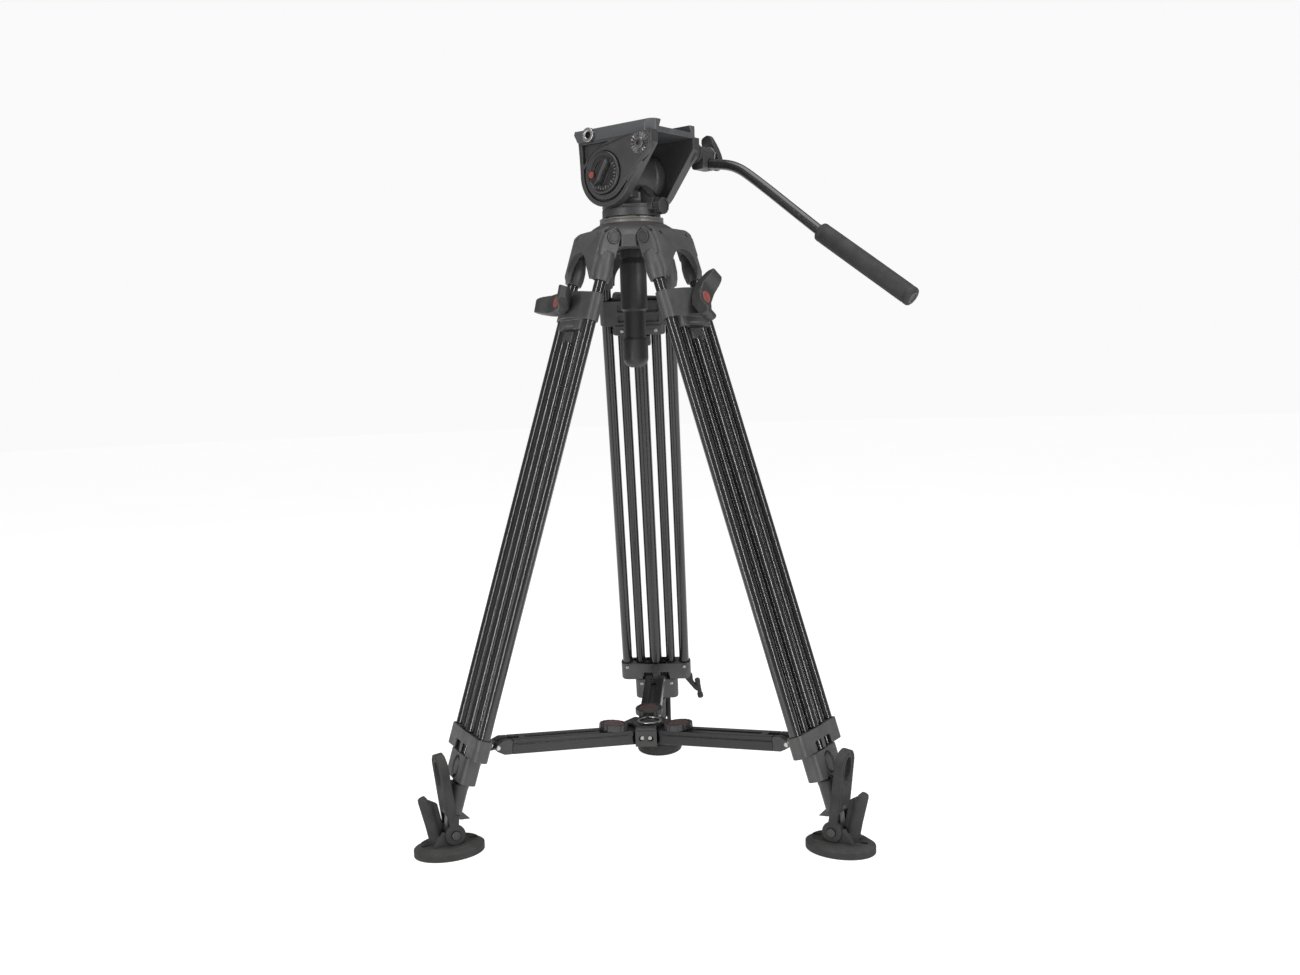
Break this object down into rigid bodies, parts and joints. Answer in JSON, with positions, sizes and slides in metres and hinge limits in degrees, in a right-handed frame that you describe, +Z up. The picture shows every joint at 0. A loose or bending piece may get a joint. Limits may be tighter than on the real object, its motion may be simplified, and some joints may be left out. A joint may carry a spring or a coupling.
{
  "type": "video tripod with fluid head",
  "caption": "Black twin-tube video tripod with mid-level spreader, rubber shoes, levelling bowl and a fluid pan-and-tilt head with one pan bar.",
  "frame": {"origin": "on the floor, under the middle of the bounding box", "axes": "+Z up; the rear leg points along +Y; the head looks along azimuth 144.3 degrees and its pan bar trails along azimuth -35.7 degrees"},
  "size_m": [0.6412, 0.5108, 0.9137],
  "materials": {
    "cast_grey": "satin dark grey paint over a casting",
    "black_anodised": "glossy black anodised tube",
    "dark_plastic": "matte black moulded plastic",
    "black_rubber": "matte black rubber",
    "bright_steel": "bright plated steel"
  },
  "bodies": {
    "crown": {"crown": "cast_grey"},
    "rear_leg": {"rear_yoke": "cast_grey", "rear_hinge_pin": "cast_grey", "rear_outer_stage": "black_anodised", "transport_strap": "black_rubber"},
    "rear_second_stage": {"rear_lock_collar": "cast_grey", "rear_middle_stage": "black_anodised"},
    "rear_third_stage": {"rear_centre_tube": "black_anodised", "rear_foot_barrel": "dark_plastic"},
    "rear_shoe": {"rear_shoe_base": "black_rubber", "rear_shoe_strap": "black_rubber"},
    "rear_leg_lock": {"rear_lock_knob": "dark_plastic"},
    "left_leg": {"left_yoke": "cast_grey", "left_hinge_pin": "cast_grey", "left_outer_stage": "black_anodised"},
    "left_second_stage": {"left_lock_collar": "cast_grey", "left_middle_stage": "black_anodised"},
    "left_third_stage": {"left_centre_tube": "black_anodised", "left_foot_barrel": "dark_plastic"},
    "left_shoe": {"left_shoe_base": "black_rubber", "left_shoe_strap": "black_rubber"},
    "left_leg_lock": {"left_lock_knob": "dark_plastic"},
    "right_leg": {"right_yoke": "cast_grey", "right_hinge_pin": "cast_grey", "right_outer_stage": "black_anodised"},
    "right_second_stage": {"right_lock_collar": "cast_grey", "right_middle_stage": "black_anodised"},
    "right_third_stage": {"right_centre_tube": "black_anodised", "right_foot_barrel": "dark_plastic"},
    "right_shoe": {"right_shoe_base": "black_rubber", "right_shoe_strap": "black_rubber"},
    "right_leg_lock": {"right_lock_knob": "dark_plastic"},
    "spreader_hub": {"spreader_hub": "dark_plastic"},
    "carrying_ring": {"carrying_ring": "bright_steel"},
    "rear_arm": {"rear_arm_channel": "black_anodised", "rear_arm_end": "dark_plastic"},
    "rear_arm_lock": {"rear_arm_knob": "dark_plastic"},
    "left_arm": {"left_arm_channel": "black_anodised", "left_arm_end": "dark_plastic"},
    "left_arm_lock": {"left_arm_knob": "dark_plastic"},
    "right_arm": {"right_arm_channel": "black_anodised", "right_arm_end": "dark_plastic"},
    "right_arm_lock": {"right_arm_knob": "dark_plastic"},
    "tie_down_cup": {"tie_down_cup": "dark_plastic"},
    "levelling_ball": {"half_ball": "cast_grey", "tie_down_bolt": "bright_steel"},
    "tie_down_handle": {"tie_down_handle": "dark_plastic"},
    "pan_housing": {"pan_base": "cast_grey", "tilt_cartridge": "cast_grey"},
    "pan_lock": {"pan_lock_knob": "dark_plastic"},
    "tilt_cradle": {"tilt_cradle": "cast_grey", "accessory_bushing": "bright_steel"},
    "tilt_drag": {"tilt_drag_knob": "dark_plastic"},
    "pan_bar": {"bar_clamp": "cast_grey", "pan_bar": "black_anodised", "bar_grip": "black_rubber"},
    "bar_lock": {"bar_wing_knob": "dark_plastic"}
  },
  "joints": [
    {"name": "rear_leg_fold", "type": "hinge", "parent": "crown", "child": "rear_leg", "pos_m": [-0.03094, -0.02432, 0.77], "axis": [-1, 0, 0], "range_deg": [0, 6]},
    {"name": "rear_second_stage_slide", "type": "slide", "parent": "rear_leg", "child": "rear_second_stage", "axis": [0, 0.3032, -0.9529], "range_m": [0, 0.42]},
    {"name": "rear_third_stage_slide", "type": "slide", "parent": "rear_second_stage", "child": "rear_third_stage", "axis": [0, 0.3032, -0.9529], "range_m": [0, 0.42]},
    {"name": "rear_leg_lock_turn", "type": "hinge", "parent": "rear_second_stage", "child": "rear_leg_lock", "pos_m": [-0.03094, 0.0274, 0.68991], "axis": [0, 0.9529, 0.3032], "continuous": true},
    {"name": "rear_shoe_pivot", "type": "hinge", "parent": "rear_third_stage", "child": "rear_shoe", "pos_m": [-0.03094, 0.20648, 0.0265], "axis": [1, 0, 0], "range_deg": [-15, 0]},
    {"name": "left_leg_fold", "type": "hinge", "parent": "crown", "child": "left_leg", "pos_m": [-0.07485, -0.10037, 0.77], "axis": [0.5, -0.866, 0], "range_deg": [0, 6]},
    {"name": "left_second_stage_slide", "type": "slide", "parent": "left_leg", "child": "left_second_stage", "axis": [-0.2626, -0.1516, -0.9529], "range_m": [0, 0.42]},
    {"name": "left_third_stage_slide", "type": "slide", "parent": "left_second_stage", "child": "left_third_stage", "axis": [-0.2626, -0.1516, -0.9529], "range_m": [0, 0.42]},
    {"name": "left_leg_lock_turn", "type": "hinge", "parent": "left_second_stage", "child": "left_leg_lock", "pos_m": [-0.11964, -0.12623, 0.68991], "axis": [-0.8253, -0.4765, 0.3032], "continuous": true},
    {"name": "left_shoe_pivot", "type": "hinge", "parent": "left_third_stage", "child": "left_shoe", "pos_m": [-0.27473, -0.21577, 0.0265], "axis": [-0.5, 0.866, 0], "range_deg": [-15, 0]},
    {"name": "right_leg_fold", "type": "hinge", "parent": "crown", "child": "right_leg", "pos_m": [0.01296, -0.10037, 0.77], "axis": [0.5, 0.866, 0], "range_deg": [0, 6]},
    {"name": "right_second_stage_slide", "type": "slide", "parent": "right_leg", "child": "right_second_stage", "axis": [0.2626, -0.1516, -0.9529], "range_m": [0, 0.42]},
    {"name": "right_third_stage_slide", "type": "slide", "parent": "right_second_stage", "child": "right_third_stage", "axis": [0.2626, -0.1516, -0.9529], "range_m": [0, 0.42]},
    {"name": "right_leg_lock_turn", "type": "hinge", "parent": "right_second_stage", "child": "right_leg_lock", "pos_m": [0.05775, -0.12623, 0.68991], "axis": [0.8253, -0.4765, 0.3032], "continuous": true},
    {"name": "right_shoe_pivot", "type": "hinge", "parent": "right_third_stage", "child": "right_shoe", "pos_m": [0.21284, -0.21577, 0.0265], "axis": [-0.5, -0.866, 0], "range_deg": [-15, 0]},
    {"name": "spreader_hub_rise", "type": "slide", "parent": "crown", "child": "spreader_hub", "axis": [0, 0, 1], "range_m": [0, 0.15488]},
    {"name": "carrying_ring_swing", "type": "hinge", "parent": "spreader_hub", "child": "carrying_ring", "pos_m": [-0.03094, -0.05902, 0.1259], "axis": [-1, 0, 0], "range_deg": [0, 100]},
    {"name": "rear_arm_fold", "type": "hinge", "parent": "spreader_hub", "child": "rear_arm", "pos_m": [-0.03094, -0.05502, 0.1095], "axis": [-1, 0, 0], "range_deg": [0, 54.23]},
    {"name": "rear_arm_lock_turn", "type": "hinge", "parent": "rear_arm", "child": "rear_arm_lock", "pos_m": [-0.03094, -0.02441, 0.12633], "axis": [0, -0.0901, 0.9959], "continuous": true},
    {"name": "left_arm_fold", "type": "hinge", "parent": "spreader_hub", "child": "left_arm", "pos_m": [-0.04826, -0.08502, 0.1095], "axis": [0.5, -0.866, 0], "range_deg": [0, 54.23]},
    {"name": "left_arm_lock_turn", "type": "hinge", "parent": "left_arm", "child": "left_arm_lock", "pos_m": [-0.07477, -0.10032, 0.12633], "axis": [0.078, 0.045, 0.9959], "continuous": true},
    {"name": "right_arm_fold", "type": "hinge", "parent": "spreader_hub", "child": "right_arm", "pos_m": [-0.01362, -0.08502, 0.1095], "axis": [0.5, 0.866, 0], "range_deg": [0, 54.23]},
    {"name": "right_arm_lock_turn", "type": "hinge", "parent": "right_arm", "child": "right_arm_lock", "pos_m": [0.01289, -0.10032, 0.12633], "axis": [-0.078, 0.045, 0.9959], "continuous": true},
    {"name": "levelling_x", "type": "hinge", "parent": "crown", "child": "tie_down_cup", "pos_m": [-0.03094, -0.07502, 0.801], "axis": [1, 0, 0], "range_deg": [-4, 4]},
    {"name": "levelling_y", "type": "hinge", "parent": "tie_down_cup", "child": "levelling_ball", "pos_m": [-0.03094, -0.07502, 0.801], "axis": [0, 1, 0], "range_deg": [-4, 4]},
    {"name": "tie_down_turn", "type": "hinge", "parent": "levelling_ball", "child": "tie_down_handle", "pos_m": [-0.03094, -0.07502, 0.68], "axis": [0, 0, 1], "continuous": true},
    {"name": "pan", "type": "hinge", "parent": "levelling_ball", "child": "pan_housing", "pos_m": [-0.03094, -0.07502, 0.81], "axis": [0, 0, 1], "continuous": true},
    {"name": "pan_lock_turn", "type": "hinge", "parent": "pan_housing", "child": "pan_lock", "pos_m": [0.00966, -0.10419, 0.812], "axis": [-0.8121, 0.5835, 0], "continuous": true},
    {"name": "tilt", "type": "hinge", "parent": "pan_housing", "child": "tilt_cradle", "pos_m": [-0.03094, -0.07502, 0.8545], "axis": [0.5835, 0.8121, 0], "range_deg": [-80, 25]},
    {"name": "tilt_drag_turn", "type": "hinge", "parent": "tilt_cradle", "child": "tilt_drag", "pos_m": [-0.06245, -0.11887, 0.8545], "axis": [0.5835, 0.8121, 0], "range_deg": [-150, 150]},
    {"name": "bar_angle", "type": "hinge", "parent": "tilt_cradle", "child": "pan_bar", "pos_m": [0.05863, -0.05318, 0.884], "axis": [0.5835, 0.8121, 0], "range_deg": [-45, 15]},
    {"name": "bar_lock_turn", "type": "hinge", "parent": "pan_bar", "child": "bar_lock", "pos_m": [0.07497, -0.03045, 0.884], "axis": [0.5835, 0.8121, 0], "continuous": true}
  ],
  "couplings": [
    {"joint": "left_leg_fold", "follows": "rear_leg_fold", "ratio": 1},
    {"joint": "right_leg_fold", "follows": "rear_leg_fold", "ratio": 1},
    {"joint": "spreader_hub_rise", "follows": "rear_leg_fold", "m_per_rad": 1.479},
    {"joint": "rear_arm_fold", "follows": "rear_leg_fold", "ratio": 9.0389},
    {"joint": "left_arm_fold", "follows": "rear_leg_fold", "ratio": 9.0389},
    {"joint": "right_arm_fold", "follows": "rear_leg_fold", "ratio": 9.0389}
  ]
}
